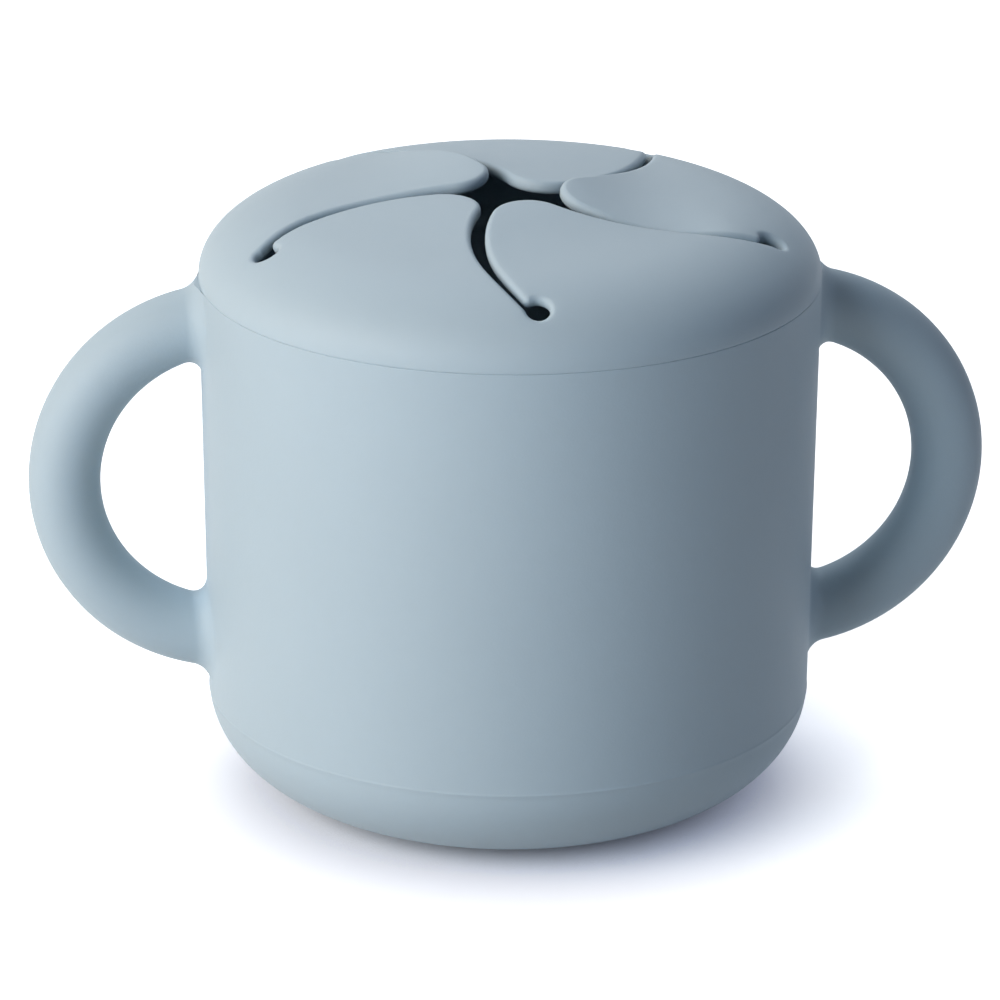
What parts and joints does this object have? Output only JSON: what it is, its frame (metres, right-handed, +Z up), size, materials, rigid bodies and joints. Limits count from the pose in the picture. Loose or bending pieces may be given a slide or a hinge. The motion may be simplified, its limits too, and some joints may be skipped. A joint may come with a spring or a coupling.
{
  "type": "toddler snack container",
  "caption": "Round soft silicone snack cup with ring handles on both sides and a plug-in lid whose slit top opens into curved petals.",
  "frame": {"origin": "middle of the cup's underside, on the plane it stands on", "axes": "+Z up through the lid, +X through the right handle, -Y towards the front of the cup"},
  "size_m": [0.1372, 0.088, 0.0893],
  "materials": {
    "cup_silicone": "matte powder blue silicone",
    "lid_silicone": "matte powder blue silicone"
  },
  "bodies": {
    "cup": {"cup_body": "cup_silicone", "handle_left": "cup_silicone", "handle_right": "cup_silicone"},
    "lid": {"lid_ring": "lid_silicone"},
    "petal_front_right": {"petal_front_right": "lid_silicone"},
    "petal_right": {"petal_right": "lid_silicone"},
    "petal_back": {"petal_back": "lid_silicone"},
    "petal_left": {"petal_left": "lid_silicone"},
    "petal_front_left": {"petal_front_left": "lid_silicone"}
  },
  "joints": [
    {"name": "lid_lift", "type": "slide", "parent": "cup", "child": "lid", "axis": [0, 0, 1], "range_m": [0, 0.045]},
    {"name": "bend_front_right", "type": "hinge", "parent": "lid", "child": "petal_front_right", "pos_m": [0.01703, -0.02432, 0.08466], "axis": [-0.8192, -0.5736, 0], "range_deg": [-25, 45], "stiffness_Nm_per_rad": 0.03},
    {"name": "bend_right", "type": "hinge", "parent": "lid", "child": "petal_right", "pos_m": [0.02839, 0.00868, 0.08466], "axis": [0.2924, -0.9563, 0], "range_deg": [-25, 45], "stiffness_Nm_per_rad": 0.03},
    {"name": "bend_back", "type": "hinge", "parent": "lid", "child": "petal_back", "pos_m": [0.00052, 0.02969, 0.08466], "axis": [0.9998, -0.0175, 0], "range_deg": [-25, 45], "stiffness_Nm_per_rad": 0.03},
    {"name": "bend_left", "type": "hinge", "parent": "lid", "child": "petal_left", "pos_m": [-0.02807, 0.00967, 0.08466], "axis": [0.3256, 0.9455, 0], "range_deg": [-25, 45], "stiffness_Nm_per_rad": 0.03},
    {"name": "bend_front_left", "type": "hinge", "parent": "lid", "child": "petal_front_left", "pos_m": [-0.01787, -0.02371, 0.08466], "axis": [-0.7986, 0.6018, 0], "range_deg": [-25, 45], "stiffness_Nm_per_rad": 0.03}
  ]
}
